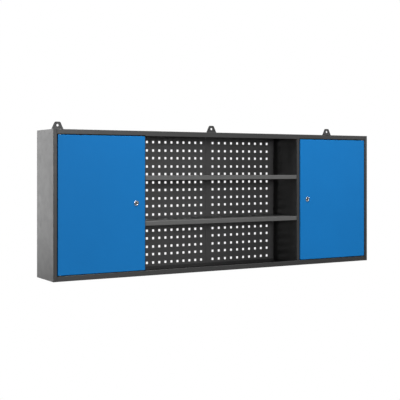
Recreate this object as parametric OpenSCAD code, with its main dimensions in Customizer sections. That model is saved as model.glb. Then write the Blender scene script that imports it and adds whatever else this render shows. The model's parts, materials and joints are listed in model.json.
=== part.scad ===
// Hanging wall cabinet of folded sheet steel: two side compartments with inset doors
// and an open middle bay with two shelves and two perforated back panels.
// X runs to the right, Y into the wall and Z up. The origin is the centre of the case's
// width and height, on the wall plane, so the whole cabinet lies at Y <= 0.

/* [Case] */
// Width of the case
case_w = 1600; // [1500:10:1800]
// Height of the case
case_h = 600; // [560:10:700]
// Depth from the wall plane to the front face
case_d = 190; // [170:5:250]
// Thickness of the folded sheet steel
sheet_t = 1; // [0.8:0.1:1.2]

/* [Front frame] */
// Width of the front lip on each side panel
side_lip = 15; // [14:1:18]
// Height of the top lip above the doors
top_lip = 19; // [15:1:20]
// Height of the top lip across the open bay
bay_lip = 21; // [18:1:24]
// Height of the bottom lip
bottom_lip = 21; // [18:1:24]
// Depth of the hem folded back from each front lip
lip_hem = 8; // [6:1:9]
// Width of the flanges that the back panels are welded to
rear_flange = 15; // [12:1:18]

/* [Bay] */
// Left inner face of the open bay
bay_x0 = -397; // [-400:1:-390]
// Right inner face of the open bay
bay_x1 = 380; // [370:1:384]
// Width of the front face of the right post
post_w = 14; // [12:1:15]
// Upper face of the upper bay shelf
upper_shelf_z = 113.5; // [60:0.5:160]
// Upper face of the lower bay shelf
lower_shelf_z = -75.5; // [-160:0.5:0]
// Height of a shelf's front lip
shelf_lip = 17.5; // [14:0.5:20]

/* [Perforated panels] */
// Side of a square hole
hole_side = 10; // [8:0.5:11]
// Distance between hole rows
row_pitch = 35.2; // [30:0.1:36]
// How much lower every second row lies, as the rows are punched in pairs
pair_shift = 1.7; // [0:0.1:3]
// Number of hole rows
row_count = 16; // [10:1:16]
// Height of the top row above the centre of the case
top_row_z = 260; // [255:1:268]
// First hole column of the left panel
left_first_x = -357.1; // [-358:0.1:-350]
// Distance between the left panel's hole columns
left_pitch = 30.6; // [28:0.1:31]
// Number of hole columns in the left panel
left_count = 12; // [8:1:12]
// First hole column of the right panel
right_first_x = 40.4; // [36:0.1:44]
// Distance between the right panel's hole columns
right_pitch = 33.4; // [30:0.1:34]
// Number of hole columns in the right panel
right_count = 10; // [8:1:10]
// Seam between the two panels
seam_x = 3; // [0:1:6]

/* [Hanging lugs] */
// Place of the left lug along the case
left_lug_x = -710; // [-760:1:-640]
// Place of the middle lug, whose rivets go through the right perforated panel
middle_lug_x = 35; // [30:1:60]
// Place of the right lug
right_lug_x = 703; // [640:1:760]
// Thickness of a lug, which is also the gap between the back panels and the wall
lug_t = 2.5; // [2:0.5:4]
// Height of a lug above the case
lug_h = 39; // [36:1:50]
// Width of a lug at its foot
lug_foot_w = 60; // [50:1:64]
// Width of a lug at its top
lug_top_w = 24; // [20:1:30]
// Height of the hole above the case
lug_hole_z = 24; // [20:1:26]
// Radius of the hole
lug_hole_r = 5; // [3:0.5:6]

/* [Doors] */
// Width of a door
door_w = 382; // [370:1:383]
// Gap between a door and the side lip
door_gap = 3.5; // [3:0.5:4]
// Height of the door's bottom edge above the case's bottom
door_z0 = 24; // [23:0.5:26]
// Depth of the door
door_t = 18; // [16:1:20]
// Width of the flange folded in round the back of the door
door_flange = 12; // [10:1:16]
// Distance from a door's hinge edge to the pin's axis
pin_inset = 9; // [8.5:0.5:9.5]
// Depth of the pin's axis behind the door's front
pin_depth = 6; // [5.5:0.5:6.5]
// Radius of a hinge pin
pin_r = 2.5; // [2:0.1:3]

/* [Locks] */
// Distance from a door's free edge to the lock's axis
lock_inset = 40; // [36:1:44]
// Height of the locks above the centre of the case
lock_z = 2; // [-20:1:20]
// Radius of the lock's face
lock_face_r = 10.5; // [9:0.5:12]
// Radius of the turning plug
plug_r = 6; // [5:0.5:7]
// Reach of the cam from the plug's axis
cam_reach = 38; // [34:1:38]

/* [Side shelves] */
// Upper face of the shelves behind the doors
side_shelf_top = -6; // [-60:1:60]
// Distance of those shelves behind the front face
side_shelf_setback = 45; // [40:1:60]

/* [Hidden] */
$fn = 48;

front_y = -case_d;
back_y = -lug_t;                       // rear face of the back panels
panel_y = back_y - sheet_t;            // front face of the back panels
flange_y = panel_y - sheet_t;          // front face of the rear flanges
half_w = case_w / 2;
top_z = case_h / 2;
bottom_z = -top_z;
deck_z = top_z - sheet_t;              // lower face of the top deck
floor_z = bottom_z + sheet_t;          // upper face of the bottom deck
door_lip_z = top_z - top_lip;          // lower edge of the lip above the doors
bay_lip_z = top_z - bay_lip;           // lower edge of the lip across the bay
sill_z = bottom_z + bottom_lip;        // upper edge of the bottom lip
post_x1 = bay_x1 + post_w;             // right edge of the right post
step_past_post = 2;                    // from the post to the step in the top lip
lip_step_x = [bay_x0 - sheet_t, post_x1 + step_past_post];
shelf_tops = [upper_shelf_z, lower_shelf_z];
lug_xs = [left_lug_x, middle_lug_x, right_lug_x];
cut_over = 1;                          // how far a cut runs past what it cuts

door_x0 = -half_w + side_lip + door_gap;   // hinge edge of the left door
door_x1 = door_x0 + door_w;                // free edge of the left door
door_bottom = bottom_z + door_z0;
door_top = door_lip_z - door_gap;
pin_x = door_x0 + pin_inset;               // left hinge axis; the right one is its mirror
pin_y = front_y + pin_depth;

buffer_t = 2.5;                        // thickness of the buffers that the doors close on
stop_y = front_y + door_t + buffer_t;  // front face of the door stops
stop_w = 18;
buffer_r = 4;
buffer_zs = [-200, 200];

lock_x = door_x1 - lock_inset;
lock_body_r = 8;
lock_depth = 20;                       // length of the lock's body behind the door's front
cam_gap = 0.5;                         // gap between the locked cam and the stop
cam_y = stop_y + sheet_t + cam_gap;
cam_t = 2.2;
cam_w = 12;
face_t = 2.2;                          // thickness of the lock's face
drive_side = 5;                        // square end of the plug that turns the cam
running_gap = 0.05;                    // radial clearance of turning fits

edge_inset = 2;                        // from the case's edges to the back panels' edges
back_z = top_z - edge_inset;
left_joint = bay_x0 - rear_flange / 2;     // joints between solid and perforated back panels
right_joint = bay_x1 + rear_flange / 2;
joint_gap = 0.5;

bracket_t = 3;
bracket_w = 44;
bracket_d = 25;
bush_r = 3.8;
bush_flange_r = 5;
bush_flange_t = 1.5;
collar_r = 4.5;                        // collar between the door and a bush
pin_past_bracket = 2;
block_w = 16;
block_h = 20;
block_d = 11;

rivet_r = 2;
rivet_head_r = 4;
rivet_head_t = 1.2;
shelf_rivet_ys = [front_y + 50, front_y + 140];
lug_tongue = 26;                       // height of a lug below the case's top
lug_rivet_dx = 20;
lug_rivet_z = top_z - 9;
tab_h = 13;                            // weld tabs at the ends of the decks
tab_setback = 30;
tab_gap = 1;                           // from a weld tab to the rear flange
shelf_front_y = front_y + 2;
shelf_flange = 15;
shelf_hem = 10;
bearer_ledge = 14;                     // bare end of a side shelf's deck, which lies on a bearer
side_shelf_play = 2;

case_grey = [0.29, 0.30, 0.30];
panel_grey = [0.25, 0.25, 0.26];
shelf_grey = [0.36, 0.37, 0.37];
door_blue = [0.10, 0.44, 0.72];

// A block between its lowest and highest corners
module block(lo, hi) {
    translate(lo) cube(hi - lo);
}

// A cylinder along Y, from y0 to y1
module rod_y(x, z, r, y0, y1) {
    translate([x, y0, z]) rotate([-90, 0, 0]) cylinder(r = r, h = y1 - y0);
}

// Children and their mirror image in the middle plane of the case
module right_hand() {
    mirror([1, 0, 0]) children();
}

// Case ---------------------------------------------------------------------

// A deck with its front lip and hem, rear flange and end tabs; dir is 1 for the top
// deck and -1 for the bottom one, and heights are measured from the outer face
module deck(dir, lip_heights) {
    outer = dir * top_z;
    module slab(x0, x1, y0, y1, d0, d1) {
        z0 = outer - dir * d0;
        z1 = outer - dir * d1;
        block([x0, y0, min(z0, z1)], [x1, y1, max(z0, z1)]);
    }
    lip_x = half_w - side_lip;
    spans = [[-lip_x, lip_step_x[0]], [lip_step_x[0], lip_step_x[1]], [lip_step_x[1], lip_x]];
    hem_x = half_w - sheet_t - bracket_w;
    slab(-half_w + sheet_t, half_w - sheet_t, front_y, panel_y, 0, sheet_t);
    for (i = [0:2]) {
        h = lip_heights[i];
        hem_x0 = max(spans[i][0], -hem_x);
        hem_x1 = min(spans[i][1], hem_x);
        slab(spans[i][0], spans[i][1], front_y, front_y + sheet_t, 0, h);
        slab(hem_x0, hem_x1, front_y, front_y + lip_hem, h - sheet_t, h);
    }
    slab(-lip_x, lip_x, flange_y, panel_y, 0, rear_flange);
    for (x = [-half_w + sheet_t, half_w - 2 * sheet_t])
        slab(x, x + sheet_t, front_y + tab_setback, flange_y - tab_gap, 0, sheet_t + tab_h);
}

module top_panel() {
    color(case_grey) difference() {
        deck(1, [top_lip, bay_lip, top_lip]);
        lug_rivet_holes();
    }
}

module bottom_panel() {
    color(case_grey) deck(-1, [bottom_lip, bottom_lip, bottom_lip]);
}

module side_sheet() {
    lip_x = -half_w + side_lip;
    block([-half_w, front_y, bottom_z], [-half_w + sheet_t, panel_y, top_z]);
    block([-half_w, front_y, floor_z], [lip_x, front_y + sheet_t, deck_z]);
    block([lip_x - sheet_t, front_y, sill_z], [lip_x, front_y + lip_hem, door_lip_z]);
    block([-half_w, flange_y, floor_z], [lip_x, panel_y, deck_z]);
}

module side_panel_left() {
    color(case_grey) side_sheet();
}

module side_panel_right() {
    color(case_grey) right_hand() side_sheet();
}

// A partition's flat sheet, notched at its front corners for the hems of the decks
module partition_sheet(x) {
    block([x, front_y + lip_hem, floor_z], [x + sheet_t, flange_y, deck_z]);
    block([x, front_y + sheet_t, sill_z], [x + sheet_t, front_y + lip_hem, bay_lip_z]);
}

module partition_left() {
    x = bay_x0 - sheet_t;
    z = top_z - rear_flange;
    color(case_grey) difference() {
        union() {
            partition_sheet(x);
            block([x - rear_flange + sheet_t, flange_y, -z], [x + sheet_t, panel_y, z]);
        }
        bay_rivet_holes();
    }
}

module partition_right() {
    z = top_z - rear_flange;
    stop_x = post_x1 - sheet_t;
    color(case_grey) difference() {
        union() {
            partition_sheet(bay_x1);
            block([bay_x1, flange_y, -z], [bay_x1 + rear_flange, panel_y, z]);
            block([bay_x1, front_y, sill_z], [post_x1, front_y + sheet_t, bay_lip_z]);
            block([stop_x, front_y, sill_z], [post_x1, stop_y + sheet_t, bay_lip_z]);
            block([stop_x, stop_y, sill_z], [stop_x + stop_w, stop_y + sheet_t, bay_lip_z]);
        }
        bay_rivet_holes();
    }
}

// Angle behind the left door's free edge, welded to the left partition
module door_stop_left() {
    x = bay_x0 - 2 * sheet_t;
    leg = 14;
    color(case_grey) {
        block([x + sheet_t - stop_w, stop_y, sill_z], [x + sheet_t, stop_y + sheet_t, bay_lip_z]);
        block([x, stop_y, sill_z], [x + sheet_t, stop_y + leg, bay_lip_z]);
    }
}

// Back ---------------------------------------------------------------------

module back_sheet(x0, x1) {
    difference() {
        block([x0, panel_y, -back_z], [x1, back_y, back_z]);
        lug_rivet_holes();
    }
}

module back_panel_left() {
    color(panel_grey) back_sheet(-half_w + edge_inset, left_joint - joint_gap);
}

module back_panel_right() {
    color(panel_grey) back_sheet(right_joint + joint_gap, half_w - edge_inset);
}

// A back panel with a grid of square holes, in count columns from first_x
module perforated_sheet(x0, x1, first_x, pitch, count) {
    translate([0, back_y, 0]) rotate([90, 0, 0]) linear_extrude(sheet_t) difference() {
        translate([x0, -back_z]) square([x1 - x0, 2 * back_z]);
        for (i = [0:count - 1], j = [0:row_count - 1])
            translate([first_x + i * pitch, top_row_z - j * row_pitch - (j % 2) * pair_shift])
                square(hole_side, center = true);
    }
}

module perforated_panel_left() {
    color(panel_grey) perforated_sheet(left_joint, seam_x, left_first_x, left_pitch, left_count);
}

module perforated_panel_right() {
    color(panel_grey) difference() {
        perforated_sheet(seam_x + joint_gap, right_joint, right_first_x, right_pitch, right_count);
        lug_rivet_holes();
    }
}

// Flat bar behind the seam of the perforated panels, bearing on the wall
module seam_strap() {
    strap_x0 = -14;
    strap_x1 = 24;
    lug_clearance = 5;
    strap_top = top_z - lug_tongue - lug_clearance;
    color(panel_grey) block([strap_x0, back_y, -back_z], [strap_x1, 0, strap_top]);
}

// Outline of a hanging lug with its foot at the case's top, its corners rounded by circles
module lug_outline() {
    corner_r = 6;
    slope = (lug_foot_w - lug_top_w) / 2 / lug_h;
    lean = atan(slope);
    corner_z = lug_h - corner_r;
    corner_x = lug_foot_w / 2 - slope * corner_z - corner_r / cos(lean);
    side_x = corner_x + corner_r * cos(lean);
    side_z = corner_z + corner_r * sin(lean);
    for (s = [-1, 1]) translate([s * corner_x, corner_z]) circle(corner_r);
    polygon([
        [-lug_foot_w / 2, -lug_tongue], [lug_foot_w / 2, -lug_tongue],
        [lug_foot_w / 2, 0], [side_x, side_z], [corner_x, lug_h],
        [-corner_x, lug_h], [-side_x, side_z], [-lug_foot_w / 2, 0]
    ]);
}

module lug(x) {
    color(case_grey) difference() {
        translate([x, 0, top_z]) rotate([90, 0, 0]) linear_extrude(lug_t) lug_outline();
        rod_y(x, top_z + lug_hole_z, lug_hole_r, -lug_t - cut_over, cut_over);
        lug_rivet_holes();
    }
}

module hanging_lug_left() {
    lug(lug_xs[0]);
}

module hanging_lug_middle() {
    lug(lug_xs[1]);
}

module hanging_lug_right() {
    lug(lug_xs[2]);
}

// Shanks of the rivets that hold the lugs, from y0 to y1
module lug_rivet_shanks(y0, y1) {
    for (x = lug_xs, s = [-1, 1])
        rod_y(x + s * lug_rivet_dx, lug_rivet_z, rivet_r, y0, y1);
}

module lug_rivet_holes() {
    lug_rivet_shanks(flange_y - cut_over, cut_over);
}

// Rivets through the top's rear flange, the back panel and the lug, flush at the wall
module lug_rivets() {
    color("silver") {
        lug_rivet_shanks(flange_y, 0);
        for (x = lug_xs, s = [-1, 1])
            rod_y(x + s * lug_rivet_dx, lug_rivet_z, rivet_head_r, flange_y - rivet_head_t, flange_y);
    }
}

// Rubber pads that keep the bottom of the case as far from the wall as the lugs are thick
module wall_pads() {
    pad_r = 10;
    pad_inset = 40;
    color([0.08, 0.08, 0.08]) for (s = [-1, 1])
        rod_y(s * (half_w - pad_inset), bottom_z + pad_inset / 2, pad_r, back_y, 0);
}

// Shelves ------------------------------------------------------------------

// A shelf between the partitions: lip and hem in front, flanges at the ends and the back
module bay_shelf(top) {
    front_play = 4;
    rear_play = 10;
    end_y0 = shelf_front_y + shelf_hem + front_play;
    end_y1 = flange_y - rear_play;
    rear_h = 10;
    color(shelf_grey) difference() {
        union() {
            block([bay_x0, shelf_front_y, top - sheet_t], [bay_x1, panel_y, top]);
            block([bay_x0, shelf_front_y, top - shelf_lip], [bay_x1, shelf_front_y + sheet_t, top]);
            block([bay_x0, shelf_front_y, top - shelf_lip],
                  [bay_x1, shelf_front_y + shelf_hem, top - shelf_lip + sheet_t]);
            block([bay_x0, flange_y, top - rear_h], [bay_x1, panel_y, top]);
            for (x = [bay_x0, bay_x1 - sheet_t])
                block([x, end_y0, top - shelf_flange], [x + sheet_t, end_y1, top]);
        }
        bay_rivet_holes();
    }
}

module bay_shelf_upper() {
    bay_shelf(shelf_tops[0]);
}

module bay_shelf_lower() {
    bay_shelf(shelf_tops[1]);
}

// A round bar along X at every rivet of a bay shelf, from x0 to x1
module bay_rivet_bars(x0, x1, r) {
    for (top = shelf_tops, y = shelf_rivet_ys)
        translate([x0, y, top - shelf_flange / 2]) rotate([0, 90, 0]) cylinder(r = r, h = x1 - x0);
}

module bay_rivet_holes() {
    reach = sheet_t + cut_over;
    bay_rivet_bars(bay_x0 - reach, bay_x0 + reach, rivet_r);
    bay_rivet_bars(bay_x1 - reach, bay_x1 + reach, rivet_r);
}

// Pop rivets through the partitions and the end flanges of the bay shelves
module bay_shelf_rivets() {
    color("silver") {
        bay_rivet_bars(bay_x0 - sheet_t, bay_x0 + sheet_t, rivet_r);
        bay_rivet_bars(bay_x0 - sheet_t - rivet_head_t, bay_x0 - sheet_t, rivet_head_r);
        bay_rivet_bars(bay_x0 + sheet_t, bay_x0 + sheet_t + rivet_head_t, rivet_head_r);
        bay_rivet_bars(bay_x1 - sheet_t, bay_x1 + sheet_t, rivet_r);
        bay_rivet_bars(bay_x1 + sheet_t, bay_x1 + sheet_t + rivet_head_t, rivet_head_r);
        bay_rivet_bars(bay_x1 - sheet_t - rivet_head_t, bay_x1 - sheet_t, rivet_head_r);
    }
}

// Shelf behind a door, between an outer and an inner wall
module side_shelf(x0, x1) {
    back_play = 1;
    y0 = front_y + side_shelf_setback;
    y1 = panel_y - back_play;
    z = side_shelf_top;
    color(shelf_grey) {
        block([x0, y0, z - sheet_t], [x1, y1, z]);
        for (y = [y0, y1 - sheet_t])
            block([x0 + bearer_ledge, y, z - shelf_flange], [x1 - bearer_ledge, y + sheet_t, z]);
    }
}

module side_shelf_left() {
    side_shelf(-half_w + sheet_t + side_shelf_play, bay_x0 - sheet_t - side_shelf_play);
}

module side_shelf_right() {
    side_shelf(bay_x1 + sheet_t + side_shelf_play, half_w - sheet_t - side_shelf_play);
}

// A pair of angles that a side shelf rests on, facing each other from x0 and x1
module shelf_bearers(x0, x1) {
    end_play = 4;
    y0 = front_y + side_shelf_setback + end_play;
    y1 = flange_y - end_play;
    z1 = side_shelf_top - sheet_t;
    drop = 18;
    ledge = bearer_ledge - side_shelf_play;
    color(case_grey) {
        block([x0, y0, z1 - drop], [x0 + sheet_t, y1, z1]);
        block([x0, y0, z1 - sheet_t], [x0 + ledge, y1, z1]);
        block([x1 - sheet_t, y0, z1 - drop], [x1, y1, z1]);
        block([x1 - ledge, y0, z1 - sheet_t], [x1, y1, z1]);
    }
}

module shelf_bearers_left() {
    shelf_bearers(-half_w + sheet_t, bay_x0 - sheet_t);
}

module shelf_bearers_right() {
    shelf_bearers(bay_x1 + sheet_t, half_w - sheet_t);
}

// Hinges -------------------------------------------------------------------

// The top and bottom brackets of the left door, with their bores for the bushes
module hinge_brackets() {
    x0 = -half_w + sheet_t;
    y0 = front_y + sheet_t;
    leg = 12;
    heights = [[sill_z - bracket_t, sill_z - bracket_t - leg], [door_lip_z, door_lip_z + bracket_t]];
    color(case_grey) for (h = heights) {
        z0 = h[0];
        leg_z = h[1];
        difference() {
            block([x0, y0, z0], [x0 + bracket_w, y0 + bracket_d, z0 + bracket_t]);
            translate([pin_x, pin_y, z0 - cut_over]) cylinder(r = bush_r, h = bracket_t + 2 * cut_over);
        }
        block([x0, y0, leg_z], [x0 + bracket_t, y0 + bracket_d, leg_z + leg]);
    }
}

module hinge_brackets_left() {
    hinge_brackets();
}

module hinge_brackets_right() {
    right_hand() hinge_brackets();
}

module bush_bore() {
    cylinder(r = pin_r + running_gap, h = bracket_t + bush_flange_t + 2 * cut_over);
}

// Flanged nylon bushes, one in each bracket of the left door
module hinge_bushes() {
    color([0.15, 0.15, 0.15]) translate([pin_x, pin_y, 0]) {
        difference() {
            union() {
                translate([0, 0, sill_z - bracket_t]) cylinder(r = bush_r, h = bracket_t);
                translate([0, 0, sill_z]) cylinder(r = bush_flange_r, h = bush_flange_t);
            }
            translate([0, 0, sill_z - bracket_t - cut_over]) bush_bore();
        }
        difference() {
            union() {
                translate([0, 0, door_lip_z]) cylinder(r = bush_r, h = bracket_t);
                translate([0, 0, door_lip_z - bush_flange_t])
                    cylinder(r = bush_flange_r, h = bush_flange_t);
            }
            translate([0, 0, door_lip_z - bush_flange_t - cut_over]) bush_bore();
        }
    }
}

module hinge_bushes_left() {
    hinge_bushes();
}

module hinge_bushes_right() {
    right_hand() hinge_bushes();
}

// The two pins that the left door turns on, each with a collar outside the door
module hinge_pins() {
    low_end = sill_z - bracket_t - pin_past_bracket;
    high_end = door_lip_z + bracket_t + pin_past_bracket;
    low_collar = sill_z + bush_flange_t + running_gap;
    high_collar = door_lip_z - bush_flange_t - running_gap;
    color("silver") translate([pin_x, pin_y, 0]) {
        translate([0, 0, low_end])
            cylinder(r = pin_r, h = door_bottom + sheet_t + block_h - low_end);
        translate([0, 0, low_collar]) cylinder(r = collar_r, h = door_bottom - low_collar);
        translate([0, 0, door_top - sheet_t - block_h])
            cylinder(r = pin_r, h = high_end - door_top + sheet_t + block_h);
        translate([0, 0, door_top]) cylinder(r = collar_r, h = high_collar - door_top);
    }
}

module hinge_pins_left() {
    hinge_pins();
}

module hinge_pins_right() {
    right_hand() hinge_pins();
}

// Blocks welded into the corners of the left door, which the pins are pressed into
module pin_blocks() {
    x0 = door_x0 + sheet_t;
    y0 = front_y + sheet_t;
    color("dimgray") difference() {
        for (z = [door_bottom + sheet_t, door_top - sheet_t - block_h])
            block([x0, y0, z], [x0 + block_w, y0 + block_d, z + block_h]);
        translate([pin_x, pin_y, door_bottom]) cylinder(r = pin_r, h = door_top - door_bottom);
    }
}

module pin_blocks_left() {
    pin_blocks();
}

module pin_blocks_right() {
    right_hand() pin_blocks();
}

// Doors --------------------------------------------------------------------

// Skin of the left door: a tray with flanges folded in at the back
module door_skin() {
    inner = sheet_t + door_flange;
    back = front_y + door_t;
    color(door_blue) difference() {
        block([door_x0, front_y, door_bottom], [door_x1, back, door_top]);
        block([door_x0 + sheet_t, front_y + sheet_t, door_bottom + sheet_t],
              [door_x1 - sheet_t, back - sheet_t, door_top - sheet_t]);
        block([door_x0 + inner, back - 2 * sheet_t, door_bottom + inner],
              [door_x1 - inner, back + cut_over, door_top - inner]);
        rod_y(lock_x, lock_z, lock_body_r, front_y - cut_over, front_y + 2 * sheet_t);
        translate([pin_x, pin_y, door_bottom - cut_over])
            cylinder(r = pin_r, h = door_top - door_bottom + 2 * cut_over);
    }
}

module door_skin_left() {
    door_skin();
}

module door_skin_right() {
    right_hand() door_skin();
}

// Upright channel welded inside the left door, its feet on the skin
module door_stiffener() {
    x = (door_x0 + door_x1) / 2;
    half = 18;
    foot = 12;
    rise = 12;
    y0 = front_y + sheet_t;
    margin = 16;
    color(door_blue) translate([0, 0, door_bottom + margin])
        linear_extrude(door_top - door_bottom - 2 * margin) {
            for (s = [-1, 1]) {
                translate([x + s * (half + foot / 2) - foot / 2, y0]) square([foot, sheet_t]);
                translate([x + s * (half - sheet_t / 2) - sheet_t / 2, y0]) square([sheet_t, rise]);
            }
            translate([x - half, y0 + rise - sheet_t]) square([2 * half, sheet_t]);
        }
}

module door_stiffener_left() {
    door_stiffener();
}

module door_stiffener_right() {
    right_hand() door_stiffener();
}

// Rubber buffers that the doors close on
module buffers(x) {
    color([0.08, 0.08, 0.08]) for (z = buffer_zs)
        rod_y(x, z, buffer_r, front_y + door_t, stop_y);
}

module door_buffers_left() {
    buffers(door_x1 - sheet_t - door_flange / 2);
}

module door_buffers_right() {
    buffers(-door_x1 + sheet_t + door_flange / 2);
}

// Locks --------------------------------------------------------------------

// Face and body of the left lock, bored for the plug
module lock_body() {
    color("silver") difference() {
        union() {
            rod_y(lock_x, lock_z, lock_face_r, front_y - face_t, front_y);
            rod_y(lock_x, lock_z, lock_body_r, front_y, front_y + lock_depth);
        }
        rod_y(lock_x, lock_z, plug_r + running_gap,
              front_y - face_t - cut_over, front_y + lock_depth + cut_over);
    }
}

module lock_body_left() {
    lock_body();
}

module lock_body_right() {
    right_hand() lock_body();
}

// Hexagon nut that draws the lock's face against the door
module lock_nut() {
    nut_r = 12;
    nut_t = 4;
    y0 = front_y + sheet_t;
    color("silver") difference() {
        translate([lock_x, y0, lock_z]) rotate([-90, 0, 0]) cylinder(r = nut_r, h = nut_t, $fn = 6);
        rod_y(lock_x, lock_z, lock_body_r, y0 - cut_over, y0 + nut_t + cut_over);
    }
}

module lock_nut_left() {
    lock_nut();
}

module lock_nut_right() {
    right_hand() lock_nut();
}

// Turning plug with its keyhole and the square that drives the cam
module lock_plug() {
    keyway_w = 2;
    keyway_h = 8;
    keyway_d = 12;
    proud = 0.4;
    head_y = front_y - face_t - proud;
    s = drive_side / 2;
    color("silver") {
        difference() {
            rod_y(lock_x, lock_z, plug_r, head_y, cam_y);
            block([lock_x - keyway_w / 2, head_y - cut_over, lock_z - keyway_h / 2],
                  [lock_x + keyway_w / 2, head_y + keyway_d, lock_z + keyway_h / 2]);
        }
        block([lock_x - s, cam_y, lock_z - s], [lock_x + s, cam_y + cam_t, lock_z + s]);
    }
}

module lock_plug_left() {
    lock_plug();
}

module lock_plug_right() {
    right_hand() lock_plug();
}

// Cam of the left lock, hanging down when the lock is open
module lock_cam() {
    s = drive_side / 2;
    tip_z = lock_z - cam_reach + cam_w / 2;
    hub_r = 8;
    color("silver") difference() {
        union() {
            rod_y(lock_x, lock_z, hub_r, cam_y, cam_y + cam_t);
            rod_y(lock_x, tip_z, cam_w / 2, cam_y, cam_y + cam_t);
            block([lock_x - cam_w / 2, cam_y, tip_z], [lock_x + cam_w / 2, cam_y + cam_t, lock_z]);
        }
        block([lock_x - s, cam_y - cut_over, lock_z - s],
              [lock_x + s, cam_y + cam_t + cut_over, lock_z + s]);
    }
}

module lock_cam_left() {
    lock_cam();
}

module lock_cam_right() {
    right_hand() lock_cam();
}

// Hexagon bolt and washer that hold the cam on the plug
module cam_bolt() {
    washer_r = 6.5;
    washer_t = 1.2;
    head_r = 4.6;
    head_t = 3.2;
    y0 = cam_y + cam_t;
    color("silver") {
        rod_y(lock_x, lock_z, washer_r, y0, y0 + washer_t);
        translate([lock_x, y0 + washer_t, lock_z]) rotate([-90, 0, 0])
            cylinder(r = head_r, h = head_t, $fn = 6);
    }
}

module cam_bolt_left() {
    cam_bolt();
}

module cam_bolt_right() {
    right_hand() cam_bolt();
}

top_panel();
bottom_panel();
side_panel_left();
side_panel_right();
partition_left();
partition_right();
door_stop_left();
back_panel_left();
back_panel_right();
perforated_panel_left();
perforated_panel_right();
seam_strap();
bay_shelf_upper();
bay_shelf_lower();
bay_shelf_rivets();
side_shelf_left();
side_shelf_right();
shelf_bearers_left();
shelf_bearers_right();
hanging_lug_left();
hanging_lug_middle();
hanging_lug_right();
lug_rivets();
wall_pads();
hinge_brackets_left();
hinge_brackets_right();
hinge_bushes_left();
hinge_bushes_right();
door_buffers_left();
door_buffers_right();
door_skin_left();
door_skin_right();
door_stiffener_left();
door_stiffener_right();
pin_blocks_left();
pin_blocks_right();
hinge_pins_left();
hinge_pins_right();
lock_body_left();
lock_body_right();
lock_nut_left();
lock_nut_right();
lock_plug_left();
lock_plug_right();
lock_cam_left();
lock_cam_right();
cam_bolt_left();
cam_bolt_right();
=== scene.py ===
"""Looks of the hanging wall cabinet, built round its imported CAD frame.

Lengths are in metres in the frame's own axes: X to the right, Y into the wall and Z up, with the origin
at the centre of the case on the wall plane. Places come from the frame's boxes, and the sheet's bends,
rims and hems are modelled at their real size.
"""

import json
import math

import bmesh
import bpy
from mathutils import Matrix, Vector

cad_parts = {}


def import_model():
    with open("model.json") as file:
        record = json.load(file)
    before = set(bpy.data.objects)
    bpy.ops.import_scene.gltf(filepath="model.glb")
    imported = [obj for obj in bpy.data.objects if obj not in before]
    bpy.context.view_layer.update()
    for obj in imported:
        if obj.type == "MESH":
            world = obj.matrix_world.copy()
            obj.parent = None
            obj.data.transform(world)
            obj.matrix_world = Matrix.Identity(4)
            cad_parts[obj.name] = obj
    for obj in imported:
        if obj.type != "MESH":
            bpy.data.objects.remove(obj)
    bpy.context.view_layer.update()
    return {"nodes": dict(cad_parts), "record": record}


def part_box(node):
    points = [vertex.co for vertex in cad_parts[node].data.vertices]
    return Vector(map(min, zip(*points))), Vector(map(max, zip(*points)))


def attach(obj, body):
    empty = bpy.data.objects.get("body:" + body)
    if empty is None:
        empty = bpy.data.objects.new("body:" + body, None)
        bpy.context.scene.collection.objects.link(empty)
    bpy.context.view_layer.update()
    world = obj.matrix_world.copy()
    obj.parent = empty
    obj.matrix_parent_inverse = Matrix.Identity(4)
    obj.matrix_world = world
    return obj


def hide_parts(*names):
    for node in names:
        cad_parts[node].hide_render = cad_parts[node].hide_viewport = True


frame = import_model()
NODES = frame["nodes"]

MM = 0.001
SHEET = 1 * MM          # thickness of the folded sheets
BEND = 0.8 * MM         # radius of a fold's middle surface
BEND_STEPS = 5
RIM = 0.22 * MM         # rounding along cut edges
SOFT_RIM = 0.4 * MM     # rounding of thicker or cast parts
EDGE_WEAR = 0.9 * MM    # how far the thinner paint reaches from an edge
SHARP = math.radians(40)
HALF_PI = math.pi / 2
TOUCHING = 1e-6         # points closer than this are one


# Mesh helpers -----------------------------------------------------------------------------

def along_x(a, b, v):
    """A section in the YZ plane, extruded along X."""
    return Vector((v, a, b))


def along_z(a, b, v):
    """A section in the XY plane, extruded along Z."""
    return Vector((a, b, v))


def along_y(a, b, v):
    """A section in the XZ plane, extruded along Y."""
    return Vector((a, v, b))


def place_object(name, data):
    obj = bpy.data.objects.new(name, data)
    bpy.context.scene.collection.objects.link(obj)
    return obj


def new_object(name, verts, faces):
    mesh = bpy.data.meshes.new(name)
    mesh.from_pydata([tuple(v) for v in verts], [], faces)
    mesh.validate()
    return place_object(name, mesh)


def mesh_from(bm, name):
    """Turns a finished bmesh into mesh data and frees it."""
    mesh = bpy.data.meshes.new(name)
    bm.to_mesh(mesh)
    bm.free()
    return mesh


def close_loop(bm, verts):
    """New edges that join the vertices of a loop."""
    return [bm.edges.new((verts[i], verts[(i + 1) % len(verts)])) for i in range(len(verts))]


def smooth_outward(bm):
    """Turns the faces outwards and shades them smooth."""
    bmesh.ops.recalc_face_normals(bm, faces=bm.faces)
    for f in bm.faces:
        f.smooth = True


def tidy_mesh(obj, merge=True):
    """Joins touching vertices, turns the faces outwards and shades them smooth."""
    bm = bmesh.new()
    bm.from_mesh(obj.data)
    if merge:
        bmesh.ops.remove_doubles(bm, verts=bm.verts, dist=TOUCHING)
    smooth_outward(bm)
    bm.to_mesh(obj.data)
    bm.free()


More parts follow.
